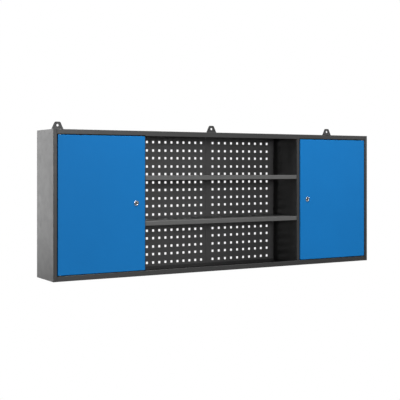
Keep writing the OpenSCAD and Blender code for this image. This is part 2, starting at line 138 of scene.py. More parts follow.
def round_edges(obj, width, segments=2):
    """Rounds the sharp edges and weights the normals by area, so flat faces stay flat."""
    bevel = obj.modifiers.new("rounded_edges", "BEVEL")
    bevel.width = width
    bevel.segments = segments
    bevel.limit_method = "ANGLE"
    bevel.angle_limit = SHARP
    bevel.use_clamp_overlap = True
    weights = obj.modifiers.new("weighted_normals", "WEIGHTED_NORMAL")
    weights.keep_sharp = True


def thicken(obj, rim=RIM):
    """Gives a middle surface the sheet's thickness, half to each side."""
    solid = obj.modifiers.new("sheet_thickness", "SOLIDIFY")
    solid.thickness = SHEET
    solid.offset = 0
    solid.use_even_offset = True
    round_edges(obj, rim)


def quarter_turn(steps, first=0):
    """The angles of a quarter turn in equal steps."""
    return [HALF_PI * k / steps for k in range(first, steps + 1)]


def fold_stations(path):
    """Points along a section's centreline with its corners rounded, and between each two of them
    the numbers of the legs that they lie on: one for a flat stretch, two for a bend."""
    points = [Vector(path[0])]
    legs = []
    for i in range(1, len(path) - 1):
        before, corner, after = Vector(path[i - 1]), Vector(path[i]), Vector(path[i + 1])
        u = (corner - before).normalized()
        w = (after - corner).normalized()
        turn = u.x * w.y - u.y * w.x
        if abs(turn) < TOUCHING:
            points.append(corner)
            legs.append((i - 1,))
            continue
        side = Vector((-u.y, u.x)) * math.copysign(1, turn)
        start = corner - u * BEND
        centre = start + side * BEND
        points.append(start)
        legs.append((i - 1,))
        for a in quarter_turn(BEND_STEPS, 1):
            points.append(centre - side * BEND * math.cos(a) + u * BEND * math.sin(a))
            legs.append((i - 1, i))
    points.append(Vector(path[-1]))
    legs.append((len(path) - 2,))
    return points, legs


def overlap(a, b):
    """The stretches that two lists of spans share."""
    both = [(max(p[0], q[0]), min(p[1], q[1])) for p in a for q in b]
    return [s for s in both if s[1] - s[0] > TOUCHING]


def fold_faces(path, spans, place, verts, faces):
    """Adds the middle surface of a folded sheet: spans[i] lists the stretches of leg i."""
    points, legs = fold_stations(path)
    breaks = sorted({round(v, 7) for leg in spans for span in leg for v in span})
    first = len(verts)
    for p in points:
        verts.extend(place(p.x, p.y, v) for v in breaks)
    width = len(breaks)
    for k, leg in enumerate(legs):
        present = spans[leg[0]] if len(leg) == 1 else overlap(spans[leg[0]], spans[leg[1]])
        for j in range(width - 1):
            middle = (breaks[j] + breaks[j + 1]) / 2
            if any(s[0] < middle < s[1] for s in present):
                a = first + k * width + j
                faces.append((a, a + 1, a + 1 + width, a + width))


def folded(name, sections, place):
    """A folded sheet made of one or more (path, spans) sections that share edges."""
    verts, faces = [], []
    for path, spans in sections:
        fold_faces(path, spans, place, verts, faces)
    used = sorted({i for f in faces for i in f})
    renumber = {old: new for new, old in enumerate(used)}
    obj = new_object(name, [verts[i] for i in used], [[renumber[i] for i in f] for f in faces])
    tidy_mesh(obj)
    thicken(obj)
    return obj


def add_rings(faces, rings, n):
    """Adds the faces between neighbouring rings of n vertices each, counted from vertex 0."""
    for i in range(rings - 1):
        for k in range(n):
            m = (k + 1) % n
            faces.append((i * n + k, i * n + m, (i + 1) * n + m, (i + 1) * n + k))


def lathe(name, profile, centre, axis, segments=40):
    """Turns a profile of (radius, distance along the axis) points round the axis."""
    axis = Vector(axis)
    u = axis.orthogonal().normalized()
    w = axis.cross(u)
    verts, faces = [], []
    for r, h in profile:
        for k in range(segments):
            a = 2 * math.pi * k / segments
            verts.append(Vector(centre) + axis * h + (u * math.cos(a) + w * math.sin(a)) * r)
    add_rings(faces, len(profile), segments)
    last = (len(profile) - 1) * segments
    if profile[0] != profile[-1]:
        faces.append(tuple(range(segments)))
        faces.append(tuple(last + k for k in reversed(range(segments))))
    obj = new_object(name, verts, faces)
    tidy_mesh(obj)
    obj.data.set_sharp_from_angle(angle=SHARP)
    return obj


def rounded_rectangle(x0, x1, z0, z1, r, steps=4):
    """Corner points of a rectangle in the XZ plane, its corners rounded, anticlockwise."""
    corners = [(x1 - r, z1 - r, 0), (x0 + r, z1 - r, 1), (x0 + r, z0 + r, 2), (x1 - r, z0 + r, 3)]
    points = []
    for cx, cz, quarter in corners:
        for k in range(steps + 1):
            a = HALF_PI * (quarter + k / steps)
            points.append((cx + r * math.cos(a), cz + r * math.sin(a)))
    return points


def prism(name, outline, holes, y0, y1, rim=RIM):
    """A plate between two Y planes with an outline and holes given in the XZ plane."""
    bm = bmesh.new()
    edges = []
    for loop in [outline, *holes]:
        edges += close_loop(bm, [bm.verts.new((x, y0, z)) for x, z in loop])
    bmesh.ops.triangle_fill(bm, use_beauty=True, use_dissolve=False, edges=edges)
    made = bmesh.ops.extrude_face_region(bm, geom=bm.faces[:])
    moved = [g for g in made["geom"] if isinstance(g, bmesh.types.BMVert)]
    bmesh.ops.translate(bm, verts=moved, vec=(0, y1 - y0, 0))
    bmesh.ops.recalc_face_normals(bm, faces=bm.faces)
    bmesh.ops.dissolve_limit(bm, angle_limit=math.radians(0.5), verts=bm.verts, edges=bm.edges)
    for f in bm.faces:
        f.smooth = True
    obj = place_object(name, mesh_from(bm, name))
    round_edges(obj, rim)
    return obj


def circle_points(x, z, r, segments=32):
    steps = (2 * math.pi * k / segments for k in range(segments))
    return [(x + r * math.cos(a), z + r * math.sin(a)) for a in steps]


def join(name, parts):
    """One object from several, with their modifiers applied."""
    bm = bmesh.new()
    depsgraph = bpy.context.evaluated_depsgraph_get()
    for part in parts:
        baked = bpy.data.meshes.new_from_object(part.evaluated_get(depsgraph))
        bm.from_mesh(baked)
        bpy.data.meshes.remove(baked)
    for part in parts:
        bpy.data.objects.remove(part)
    mesh = mesh_from(bm, name)
    for p in mesh.polygons:
        p.use_smooth = True
    mesh.set_sharp_from_angle(angle=SHARP)
    return place_object(name, mesh)


# Materials --------------------------------------------------------------------------------

NOISE_RANGE = (0.3, 0.7)        # nearly all values of a noise texture lie in it
FULL = (0, 1)


def node_tree(name):
    """A new material, its nodes and its shader."""
    material = bpy.data.materials.new(name)
    material.use_nodes = True
    tree = material.node_tree
    return material, tree, tree.nodes["Principled BSDF"]


def noise(tree, scale, detail, roughness=0.5):
    coords = tree.nodes.new("ShaderNodeTexCoord")
    texture = tree.nodes.new("ShaderNodeTexNoise")
    texture.inputs["Scale"].default_value = scale
    texture.inputs["Detail"].default_value = detail
    texture.inputs["Roughness"].default_value = roughness
    tree.links.new(coords.outputs["Object"], texture.inputs["Vector"])
    return texture.outputs["Fac"]


def spread(tree, value, source, target):
    """Maps a value from the source range to the target range."""
    ranged = tree.nodes.new("ShaderNodeMapRange")
    ranged.inputs["From Min"].default_value, ranged.inputs["From Max"].default_value = source
    ranged.inputs["To Min"].default_value, ranged.inputs["To Max"].default_value = target
    tree.links.new(value, ranged.inputs["Value"])
    return ranged.outputs["Result"]


def blend_colours(tree, amount, a, b):
    """Mixes two colours, or the outputs that carry them, by an amount from 0 to 1."""
    mix = tree.nodes.new("ShaderNodeMix")
    mix.data_type = "RGBA"
    for socket, value in (("A", a), ("B", b)):
        colour_input = [i for i in mix.inputs if i.name == socket and i.type == "RGBA"][0]
        if isinstance(value, bpy.types.NodeSocket):
            tree.links.new(value, colour_input)
        else:
            colour_input.default_value = (*value, 1)
    tree.links.new(amount, mix.inputs["Factor"])
    return [o for o in mix.outputs if o.type == "RGBA"][0]


def bump(tree, bsdf, heights):
    """Chains bumps of (height output, distance in metres) onto the shader's normal."""
    last = None
    for height, distance in heights:
        node = tree.nodes.new("ShaderNodeBump")
        node.inputs["Strength"].default_value = 1
        node.inputs["Distance"].default_value = distance
        tree.links.new(height, node.inputs["Height"])
        if last:
            tree.links.new(last, node.inputs["Normal"])
        last = node.outputs["Normal"]
    tree.links.new(last, bsdf.inputs["Normal"])


def worn_edges(tree):
    """A mask of edges and folds, where a rounded normal leaves the face's own, broken up by noise."""
    geometry = tree.nodes.new("ShaderNodeNewGeometry")
    rounded = tree.nodes.new("ShaderNodeBevel")
    rounded.samples = 4
    rounded.inputs["Radius"].default_value = EDGE_WEAR
    agree = tree.nodes.new("ShaderNodeVectorMath")
    agree.operation = "DOT_PRODUCT"
    tree.links.new(rounded.outputs["Normal"], agree.inputs[0])
    tree.links.new(geometry.outputs["Normal"], agree.inputs[1])
    edge = spread(tree, agree.outputs["Value"], (0.75, 0.98), (1, 0))
    broken = spread(tree, noise(tree, 160, 5, 0.65), (0.42, 0.62), FULL)
    both = tree.nodes.new("ShaderNodeMath")
    both.operation = "MULTIPLY"
    tree.links.new(edge, both.inputs[0])
    tree.links.new(broken, both.inputs[1])
    return both.outputs["Value"]


def shade(colour, factor):
    return tuple(min(1, c * factor) for c in colour)


def powder_coat(name, colour, roughness, texture_depth, specular, edge=1.3):
    """Sprayed and baked paint: orange peel, fine grain, faint clouding and edges that thin out."""
    material, tree, bsdf = node_tree(name)
    clouds = spread(tree, noise(tree, 4.5, 4), NOISE_RANGE, FULL)
    body = blend_colours(tree, clouds, shade(colour, 0.975), shade(colour, 1.025))
    worn = blend_colours(tree, worn_edges(tree), body, shade(colour, edge))
    tree.links.new(worn, bsdf.inputs["Base Color"])
    rough = spread(tree, noise(tree, 38, 5), NOISE_RANGE, (roughness - 0.03, roughness + 0.03))
    tree.links.new(rough, bsdf.inputs["Roughness"])
    bsdf.inputs["Specular IOR Level"].default_value = specular
    orange_peel = (noise(tree, 420, 2), texture_depth)
    grain = (noise(tree, 1900, 2), texture_depth * 0.35)
    bump(tree, bsdf, [orange_peel, grain])
    return material


def metal(name, colour, roughness, grain_depth, brushed=False):
    """Bare or plated metal with fine grain and slightly uneven polish."""
    material, tree, bsdf = node_tree(name)
    patches = spread(tree, noise(tree, 90, 4), (0.35, 0.65), FULL)
    tinted = blend_colours(tree, patches, shade(colour, 0.9), colour)
    tree.links.new(tinted, bsdf.inputs["Base Color"])
    bsdf.inputs["Metallic"].default_value = 1
    rough = spread(tree, noise(tree, 300, 4), NOISE_RANGE, (roughness * 0.7, roughness * 1.3))
    tree.links.new(rough, bsdf.inputs["Roughness"])
    if brushed:
        bsdf.inputs["Anisotropic"].default_value = 0.4
    bump(tree, bsdf, [(noise(tree, 2500, 3), grain_depth)])
    return material


def moulded(name, colour, roughness, grain_depth, sheen=0.0):
    """Rubber or plastic with a fine moulded grain."""
    material, tree, bsdf = node_tree(name)
    clouds = spread(tree, noise(tree, 60, 4), NOISE_RANGE, FULL)
    tinted = blend_colours(tree, clouds, shade(colour, 0.9), shade(colour, 1.1))
    tree.links.new(tinted, bsdf.inputs["Base Color"])
    rough = spread(tree, noise(tree, 240, 3), NOISE_RANGE, (roughness - 0.08, roughness + 0.08))
    tree.links.new(rough, bsdf.inputs["Roughness"])
    bsdf.inputs["Sheen Weight"].default_value = sheen
    bump(tree, bsdf, [(noise(tree, 1400, 3), grain_depth)])
    return material


CASE_GREY = (0.021, 0.021, 0.021)
# Painted light: the perforated panels, back panels and seam strap are the case's own charcoal, painted
# about three times lighter than CASE_GREY so the shaded back of the bay looks as bright as the lit front
# rails.
PANEL_GREY_WITH_PAINTED_LIGHT = (0.065, 0.064, 0.065)
SHELF_GREY = (0.071, 0.071, 0.070)
DOOR_BLUE = (0.0083, 0.153, 0.428)

PAINTS = {
    "case_paint": powder_coat("case_paint", CASE_GREY, 0.45, 0.03 * MM, specular=0.61),
    # panel_paint: the case charcoal with painted light, lighter so the shaded back of the bay looks lit
    "panel_paint": powder_coat("panel_paint", PANEL_GREY_WITH_PAINTED_LIGHT, 0.55, 0.05 * MM, specular=0.72),
    "shelf_paint": powder_coat("shelf_paint", SHELF_GREY, 0.50, 0.05 * MM, specular=0.72),
    "door_paint": powder_coat("door_paint", DOOR_BLUE, 0.48, 0.035 * MM, specular=0.05, edge=1.15),
    "lock_chrome": metal("lock_chrome", (0.80, 0.81, 0.83), 0.12, 0.004 * MM),
    "zinc_steel": metal("zinc_steel", (0.62, 0.61, 0.56), 0.34, 0.01 * MM),
    "rivet_steel": metal("rivet_steel", (0.50, 0.50, 0.49), 0.38, 0.01 * MM, brushed=True),
    "nylon": moulded("nylon", (0.030, 0.030, 0.031), 0.42, 0.01 * MM),
    "rubber": moulded("rubber", (0.022, 0.022, 0.022), 0.75, 0.03 * MM, sheen=0.1),
}
SLOTS = {s["node"]: s["material_slot"] for s in frame["record"]["subparts"]}
BODY_OF = {n: body for body, names in frame["record"]["behaviour"]["bodies"].items() for n in names}


def finish_piece(obj, node):
    """Gives a piece its paint and body, and lets it stand for the CAD node."""
    slot = SLOTS[node]
    obj.data.materials.clear()
    obj.data.materials.append(PAINTS[slot])
    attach(obj, BODY_OF[node])
    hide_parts(node)


def keep_cad(node, rim):
    """A CAD node that is shown as it is, with rounded edges and its paint."""
    obj = NODES[node]
    obj.data.materials.clear()
    obj.data.materials.append(PAINTS[SLOTS[node]])
    for p in obj.data.polygons:
        p.use_smooth = True
        p.material_index = 0
    weld = obj.modifiers.new("weld", "WELD")
    weld.merge_threshold = TOUCHING
    flat = obj.modifiers.new("flat_faces", "DECIMATE")
    flat.decimate_type = "DISSOLVE"
    flat.angle_limit = math.radians(1)
    round_edges(obj, rim)


# Sizes ------------------------------------------------------------------------------------

HALF_SHEET = SHEET / 2
RIGHT = -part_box("side_panel_left")[0][0]
FRONT_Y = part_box("side_panel_left")[0][1]
PANEL_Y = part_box("side_panel_left")[1][1]       # front face of the back panels
TOP_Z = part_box("side_panel_left")[1][2]
BOTTOM_Z = -TOP_Z
DECK_Z = TOP_Z - SHEET
FLANGE_Y = PANEL_Y - SHEET
SILL_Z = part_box("door_stop_left")[0][2]
BAY_LIP_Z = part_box("door_stop_left")[1][2]
DOOR_LIP_Z = BAY_LIP_Z + 2 * MM                 # the top lip is lower across the bay
SIDE_LIP = 15 * MM
LIP_HEM = 8 * MM
REAR_FLANGE = 15 * MM
LIP_X = RIGHT - SIDE_LIP
BRACKET_ROOM = 44 * MM
HEM_X = RIGHT - SHEET - BRACKET_ROOM            # the deck hems stop at the hinge brackets
BAY_X0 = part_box("bay_shelf_upper")[0][0]
BAY_X1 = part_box("bay_shelf_upper")[1][0]
POST_WIDTH = 14 * MM
POST_X1 = BAY_X1 + POST_WIDTH
NOTCH = 2 * MM
LIP_STEPS = (BAY_X0 - SHEET, POST_X1 + NOTCH)   # where the top lip changes height
DECK_TAB = 13 * MM


# Case -------------------------------------------------------------------------------------

def deck(name, side, lips):
    """A deck with its lip, hem and rear flange; side is 1 for the top and -1 for the bottom."""
    outer = side * (TOP_Z - HALF_SHEET)
    front = FRONT_Y + HALF_SHEET
    rear = PANEL_Y - HALF_SHEET
    lip_ends = [-LIP_X, LIP_STEPS[0], LIP_STEPS[1], LIP_X]
    sections = []
    for i, lip in enumerate(lips):
        x0, x1 = lip_ends[i], lip_ends[i + 1]
        edge = side * (abs(lip) + HALF_SHEET)
        rear_end = side * (TOP_Z - REAR_FLANGE)
        deck_x0 = -RIGHT + SHEET if i == 0 else x0
        deck_x1 = RIGHT - SHEET if i == 2 else x1
        hem_x0 = max(x0 + (NOTCH if i == 2 else 0), -HEM_X)
        hem_x1 = min(x1 - (NOTCH if i == 0 else 0), HEM_X)
        path = [(FRONT_Y + LIP_HEM, edge), (front, edge), (front, outer), (rear, outer), (rear, rear_end)]
        spans = [[(hem_x0, hem_x1)], [(x0, x1)], [(deck_x0, deck_x1)], [(x0, x1)]]
        sections.append((path, spans))
    corner = [(FRONT_Y + SHEET, outer), (front + BEND, outer)]
    sections.append((corner, [[(-RIGHT + SHEET, -LIP_X), (LIP_X, RIGHT - SHEET)]]))
    obj = folded(name, sections, along_x)
    tabs = []
    tab_ends = sorted((side * (DECK_Z - DECK_TAB), side * DECK_Z))
    tab_span = [(FRONT_Y + 30 * MM, FLANGE_Y - SHEET)]
    for x in (-RIGHT + SHEET + HALF_SHEET, RIGHT - SHEET - HALF_SHEET):
        path = [(x, z) for z in tab_ends]
        tabs.append(folded(f"{name}_tab", [(path, [tab_span])], along_y))
    finish_piece(join(name, [obj, *tabs]), name)


def side_panel(name, side):
    """A side with its front lip, hem and rear flange; side is -1 for the left and 1 for the right."""
    x = side * (RIGHT - HALF_SHEET)
    rear = PANEL_Y - HALF_SHEET
    front = FRONT_Y + HALF_SHEET
    path = [
        (side * LIP_X, rear), (x, rear), (x, front),
        (side * (LIP_X + HALF_SHEET), front), (side * (LIP_X + HALF_SHEET), FRONT_Y + LIP_HEM),
    ]
    full = [(BOTTOM_Z, TOP_Z)]
    spans = [[(-DECK_Z, DECK_Z)], full, full, [(SILL_Z, DOOR_LIP_Z)]]
    finish_piece(folded(f"{name}_folded", [(path, spans)], along_z), name)


def partitions():
    """Both partitions, the right one with the post and stop, and the stop on the left one."""
    rear = PANEL_Y - HALF_SHEET
    front = FRONT_Y + HALF_SHEET
    flange = [(-TOP_Z + REAR_FLANGE, TOP_Z - REAR_FLANGE)]
    full = [(-DECK_Z, DECK_Z)]
    opening = [(SILL_Z, BAY_LIP_Z)]
    notch_y = FRONT_Y + LIP_HEM
    stop_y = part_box("door_stop_left")[0][1] + HALF_SHEET

    x = BAY_X0 - HALF_SHEET
    path = [(x + HALF_SHEET - REAR_FLANGE, rear), (x, rear), (x, notch_y), (x, FRONT_Y + SHEET)]
    left = folded("partition_left_folded", [(path, [flange, full, opening])], along_z)
    finish_piece(left, "partition_left")

    x = BAY_X1 + HALF_SHEET
    post = POST_X1 - HALF_SHEET
    stop_x1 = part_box("partition_right")[1][0]
    path = [
        (BAY_X1 + REAR_FLANGE, rear), (x, rear), (x, notch_y), (x, front),
        (post, front), (post, stop_y), (stop_x1, stop_y),
    ]
    spans = [flange, full, opening, opening, opening, opening]
    right = folded("partition_right_folded", [(path, spans)], along_z)
    finish_piece(right, "partition_right")

    lo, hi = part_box("door_stop_left")
    path = [(lo[0], stop_y), (hi[0] - HALF_SHEET, stop_y), (hi[0] - HALF_SHEET, hi[1])]
    finish_piece(folded("door_stop_folded", [(path, [opening, opening])], along_z), "door_stop_left")


# Back -------------------------------------------------------------------------------------

HOLE = 10 * MM
HOLE_CORNER = 0.9 * MM
ROW_COUNT = 16
TOP_ROW_Z = 260 * MM
ROW_PITCH = 35.2 * MM
PAIR_SHIFT = 1.7 * MM                           # how much lower every second row lies
ROW_ZS = sorted(TOP_ROW_Z - j * ROW_PITCH - (j % 2) * PAIR_SHIFT for j in range(ROW_COUNT))
LEFT_COLUMNS = (-357.1 * MM, 30.6 * MM, 12)     # first hole, pitch and count
RIGHT_COLUMNS = (40.4 * MM, 33.4 * MM, 10)


def cell_edges(centres, lo, hi):
    """Borders halfway between neighbouring holes, with the panel's own edges at the ends."""
    middles = [(a + b) / 2 for a, b in zip(centres, centres[1:])]
    return [lo, *middles, hi]


def perforated(name, columns):
    """A panel's middle surface, with a ring of faces round each square hole."""
    lo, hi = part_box(name)
    y = (lo[1] + hi[1]) / 2
    first_x, pitch, count = columns
    holes_x = [first_x + pitch * i for i in range(count)]
    xs = cell_edges(holes_x, lo[0], hi[0])
    zs = cell_edges(ROW_ZS, lo[2], hi[2])
    verts = [(x, y, z) for x in xs for z in zs]
    faces = []
    steps = 3
    half = HOLE / 2
    for i, x in enumerate(holes_x):
        for j, z in enumerate(ROW_ZS):
            ring = rounded_rectangle(x - half, x + half, z - half, z + half, HOLE_CORNER, steps)
            first = len(verts)
            verts += [(px, y, pz) for px, pz in ring]
            corners = [
                (i + 1) * len(zs) + j + 1, i * len(zs) + j + 1, i * len(zs) + j, (i + 1) * len(zs) + j,
            ]
            for quarter in range(4):
                start = first + quarter * (steps + 1)
                for k in range(steps):
                    faces.append((corners[quarter], start + k + 1, start + k))
                after = first + (quarter + 1) % 4 * (steps + 1)
                faces.append((corners[quarter], corners[(quarter + 1) % 4], after, start + steps))
    obj = new_object(f"{name}_sheet", verts, faces)
    tidy_mesh(obj, merge=False)
    thicken(obj, rim=0.18 * MM)
    finish_piece(obj, name)


def lug(name):
    """A hanging lug with a rounded trapezoid head and its hole."""
    lo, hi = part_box(name)
    x = (lo[0] + hi[0]) / 2
    foot = (hi[0] - lo[0]) / 2
    head = 12 * MM
    hole_z = TOP_Z + 24 * MM
    hole_r = 5 * MM
    height = hi[2] - TOP_Z
    corner = 8 * MM
    slope = (foot - head) / height
    lean = math.atan(slope)
    cz = TOP_Z + height - corner
    cx = foot - slope * (height - corner) - corner / math.cos(lean)
    outline = [(x - foot, lo[2]), (x + foot, lo[2]), (x + foot, TOP_Z)]
    sweep = [lean + (HALF_PI - lean) * k / 8 for k in range(9)]
    outline += [(x + cx + corner * math.cos(a), cz + corner * math.sin(a)) for a in sweep]
    outline += [(x - cx - corner * math.cos(a), cz + corner * math.sin(a)) for a in reversed(sweep)]
    outline.append((x - foot, TOP_Z))
    hole = circle_points(x, hole_z, hole_r, 40)
    finish_piece(prism(f"{name}_plate", outline, [hole], lo[1], hi[1], rim=0.35 * MM), name)


def rivet_profile(head_r, head_t, back):
    """A domed rivet head with its shank; distances run from the sheet's face outwards."""
    shank_r = head_r / 2
    profile = [(0, -back), (shank_r, -back), (shank_r, 0), (head_r * 0.97, 0), (head_r, head_t * 0.18)]
    for a in quarter_turn(6, 1):
        profile.append((head_r * (0.30 + 0.70 * math.cos(a)), head_t * (0.18 + 0.82 * math.sin(a))))
    profile += [(head_r * 0.26, head_t * 0.97), (head_r * 0.24, head_t * 0.55), (0, head_t * 0.5)]
    return profile


LUGS = ("hanging_lug_left", "hanging_lug_middle", "hanging_lug_right")
BAY_SHELVES = ("bay_shelf_upper", "bay_shelf_lower")
RIVET_HEAD_R = 4 * MM
RIVET_HEAD_T = 1.2 * MM
RIVET_SEGMENTS = 28
LUG_RIVET_X = 20 * MM           # from the middle of the lug
LUG_RIVET_Z = TOP_Z - 9 * MM
SHELF_RIVET_DROP = 7.5 * MM     # below the shelf's upper face
SHELF_RIVET_YS = (FRONT_Y + 50 * MM, FRONT_Y + 140 * MM)


def rivets():
    """The heads of the lugs' rivets, and those of the bay shelves on both faces of the partitions."""
    profile = rivet_profile(RIVET_HEAD_R, RIVET_HEAD_T, -FLANGE_Y)
    heads = []
    for name in LUGS:
        lo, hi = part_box(name)
        for dx in (-LUG_RIVET_X, LUG_RIVET_X):
            place = ((lo[0] + hi[0]) / 2 + dx, FLANGE_Y, LUG_RIVET_Z)
            heads.append(lathe("head", profile, place, (0, -1, 0), RIVET_SEGMENTS))
    finish_piece(join("lug_rivet_heads", heads), "lug_rivets")

    profile = rivet_profile(RIVET_HEAD_R, RIVET_HEAD_T, SHEET)
    heads = []
    for shelf in BAY_SHELVES:
        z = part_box(shelf)[1][2] - SHELF_RIVET_DROP
        for y in SHELF_RIVET_YS:
            for x in (BAY_X0, BAY_X1):
                for side in (-1, 1):
                    place = (x + side * SHEET, y, z)
                    heads.append(lathe("head", profile, place, (side, 0, 0), RIVET_SEGMENTS))
    finish_piece(join("bay_shelf_rivet_heads", heads), "bay_shelf_rivets")


# Shelves ----------------------------------------------------------------------------------

def bay_shelf(name):
    """A shelf with a folded front lip, a rear flange and end tabs, riveted to the partitions."""
    lo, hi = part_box(name)
    top = hi[2]
    front = lo[1] + HALF_SHEET
    lip_z = lo[2] + HALF_SHEET
    rear = PANEL_Y - HALF_SHEET
    hem = 10 * MM
    rear_flange = 10 * MM
    tab_height = 15 * MM
    tab_span = [(lo[1] + 14 * MM, FLANGE_Y - 10 * MM)]
    full = [(lo[0], hi[0])]
    path = [
        (lo[1] + hem, lip_z), (front, lip_z), (front, top - HALF_SHEET),
        (rear, top - HALF_SHEET), (rear, top - rear_flange),
    ]
    parts = [folded(name, [(path, [full] * 4)], along_x)]
    for x in (lo[0] + HALF_SHEET, hi[0] - HALF_SHEET):
        path = [(x, top - tab_height), (x, top - SHEET)]
        parts.append(folded(name, [(path, [tab_span])], along_y))
    finish_piece(join(f"{name}_folded", parts), name)


def side_shelf(name):
    """A loose shelf behind a door, folded down at the front and rear."""
    lo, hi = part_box(name)
    front = lo[1] + HALF_SHEET
    rear = hi[1] - HALF_SHEET
    z = hi[2] - HALF_SHEET
    path = [(front, lo[2]), (front, z), (rear, z), (rear, lo[2])]
    notch = 14 * MM                             # the flanges stop short of the bearers
    flange = [(lo[0] + notch, hi[0] - notch)]
    finish_piece(folded(f"{name}_folded", [(path, [flange, [(lo[0], hi[0])], flange])], along_x), name)


def shelf_bearers(name):
    """The pair of angles that a side shelf rests on."""
    lo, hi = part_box(name)
    z = hi[2] - HALF_SHEET
    span = [(lo[1], hi[1])]
    width = 12 * MM
    parts = []
    for x, side in ((lo[0], 1), (hi[0], -1)):
        inner = x + side * HALF_SHEET
        path = [(inner, lo[2]), (inner, z), (x + side * width, z)]
        parts.append(folded(name, [(path, [span, span])], along_y))
    finish_piece(join(f"{name}_angles", parts), name)


# Doors ------------------------------------------------------------------------------------

LOCK_HOLE_R = 8 * MM            # hole in the door, and radius of the lock's barrel


def door_skin(name, lock_x, lock_z):
    """A tray of rounded-rectangle rings, from the front face round to the rear flange."""
    lo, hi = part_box(name)
    corner = 2.2 * MM
    flange = 13 * MM
    front = lo[1] + HALF_SHEET
    back = hi[1] - HALF_SHEET
    stations = []
    for a in quarter_turn(BEND_STEPS):
        stations.append((HALF_SHEET + BEND * (1 - math.sin(a)), front + BEND * (1 - math.cos(a))))
    for a in quarter_turn(BEND_STEPS):
        stations.append((HALF_SHEET + BEND * (1 - math.cos(a)), back - BEND * (1 - math.sin(a))))
    stations.append((flange, back))
    verts, faces = [], []
    for inset, y in stations:
        r = max(corner - inset, 0.15 * MM)
        ring = rounded_rectangle(lo[0] + inset, hi[0] - inset, lo[2] + inset, hi[2] - inset, r)
        verts += [(x, y, z) for x, z in ring]
    n = len(verts) // len(stations)
    add_rings(faces, len(stations), n)
    obj = new_object(f"{name}_tray", verts, faces)
    bm = bmesh.new()
    bm.from_mesh(obj.data)
    bm.verts.ensure_lookup_table()
    edges = [bm.edges.get((bm.verts[k], bm.verts[(k + 1) % n])) for k in range(n)]
    hole = [bm.verts.new((x, front, z)) for x, z in circle_points(lock_x, lock_z, LOCK_HOLE_R, 40)]
    edges += close_loop(bm, hole)
    bmesh.ops.triangle_fill(bm, use_beauty=True, use_dissolve=False, edges=edges)
    bm.to_mesh(obj.data)
    bm.free()
    tidy_mesh(obj, merge=False)
    thicken(obj)
    finish_piece(obj, name)


def stiffener(name):
    """An upright hat profile on the back of a door."""
    lo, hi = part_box(name)
    span = [(lo[2], hi[2])]
    foot_width = 12.5 * MM
    x0, x1 = lo[0] + foot_width, hi[0] - foot_width
    foot = lo[1] + HALF_SHEET
    crown = hi[1] - HALF_SHEET
    path = [(lo[0], foot), (x0, foot), (x0, crown), (x1, crown), (x1, foot), (hi[0], foot)]
    finish_piece(folded(f"{name}_hat", [(path, [span] * 5)], along_z), name)


def hinge_parts(side):
    """Bushes and pins of one door; side is 'left' or 'right'."""
    lo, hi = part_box(f"hinge_bushes_{side}")
    x, y = (lo[0] + hi[0]) / 2, (lo[1] + hi[1]) / 2
    pin_lo, pin_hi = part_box(f"hinge_pins_{side}")
    door_lo, door_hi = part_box(f"door_skin_{side}")
    c = 0.3 * MM                                # chamfer
    bore, shell, flange = 2.55 * MM, 3.8 * MM, 5 * MM
    h, t = 3 * MM, 1.5 * MM                     # length of the shell and thickness of the flange
    bush = [
        (bore, 0), (shell - c, 0), (shell, c), (shell, h), (flange, h),
        (flange, h + t - c), (flange - c, h + t), (bore + c, h + t), (bore, h + t - c), (bore, 0),
    ]
    low = lathe("bush", bush, (x, y, lo[2]), (0, 0, 1))
    high = lathe("bush", bush, (x, y, hi[2]), (0, 0, -1))
    finish_piece(join(f"hinge_bush_pair_{side}", [low, high]), f"hinge_bushes_{side}")

    pin_r, collar_r = 2.5 * MM, 4.5 * MM
    play = 0.05 * MM                            # between a collar and its bush
    block_h = 20 * MM
    low_collar = SILL_Z + t + play
    high_collar = DOOR_LIP_Z - t - play
    parts = []
    for end, collar, skin, axis in (
        (pin_lo[2], low_collar, door_lo[2], 1),
        (pin_hi[2], high_collar, door_hi[2], -1),
    ):
        at = abs(collar - end)
        top = abs(skin - end)
        inside = top + SHEET + block_h
        pin = [
            (0, 0), (pin_r - 2 * c, 0), (pin_r, 2 * c), (pin_r, at),
            (collar_r - c, at), (collar_r, at + c), (collar_r, top - c), (collar_r - c, top),
            (pin_r, top), (pin_r, inside), (0, inside),
        ]
        parts.append(lathe("pin", pin, (x, y, end), (0, 0, axis)))
    finish_piece(join(f"hinge_pin_pair_{side}", parts), f"hinge_pins_{side}")


def rubber_buttons(name, axis):
    """Low domed rubber buttons in place of the CAD discs, which lie flat on two faces."""
    lo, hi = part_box(name)
    if name == "wall_pads":
        r = 10 * MM
        centres = [(s * (hi[0] - r), lo[2] + r) for s in (-1, 1)]
    else:
        r = 4 * MM
        centres = [((lo[0] + hi[0]) / 2, z) for z in (lo[2] + r, hi[2] - r)]
    t = hi[1] - lo[1]
    c = 0.9 * MM                                # rounding of the rim
    base = lo[1] if axis > 0 else hi[1]
    profile = [(0, 0), (r, 0), (r, t - c)]
    for a in quarter_turn(5, 1):
        profile.append((r - c * (1 - math.cos(a)), t - c * (1 - math.sin(a))))
    profile.append((0, t))
    parts = [lathe(name, profile, (x, base, z), (0, axis, 0)) for x, z in centres]
    finish_piece(join(f"{name}_rubber", parts), name)


# Locks ------------------------------------------------------------------------------------

DRIVE_HALF = 2.5 * MM           # half the side of the square that drives the cam


